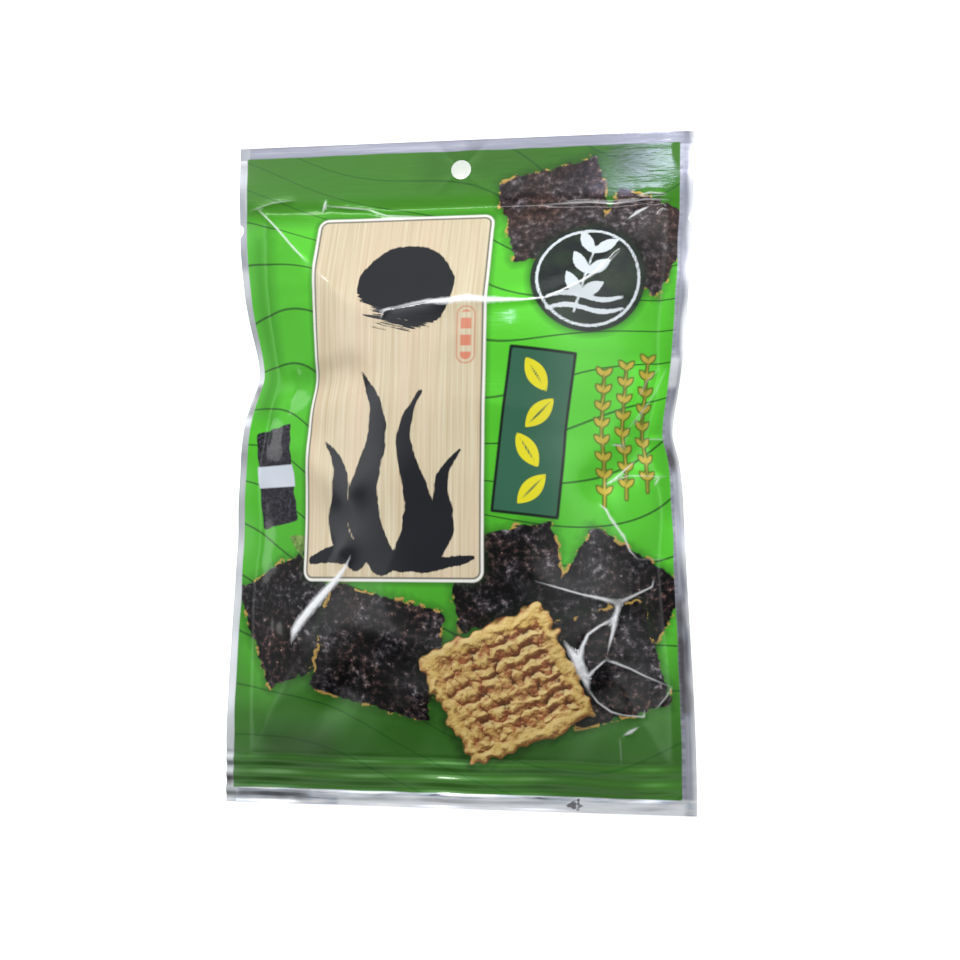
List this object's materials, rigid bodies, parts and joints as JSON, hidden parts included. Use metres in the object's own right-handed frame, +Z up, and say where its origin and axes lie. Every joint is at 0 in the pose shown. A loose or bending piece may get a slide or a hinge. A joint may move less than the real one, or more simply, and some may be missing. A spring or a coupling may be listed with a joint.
{
  "type": "sealed snack pouch",
  "caption": "Sealed foil pouch of crisp snacks lying on its back: flat seals all round a bulging body, and a header with a hang hole.",
  "frame": {"origin": "middle of the ground under the pouch, on the flat of its back film", "axes": "+X across the pouch to the right of its printed side, +Y towards the header with the hang hole, +Z up out of the printed side"},
  "size_m": [0.18, 0.258, 0.0329],
  "materials": {
    "printed_film": "glossy printed foil film, silver along the unprinted edges"
  },
  "bodies": {
    "root": {"pouch": "printed_film"}
  },
  "joints": []
}
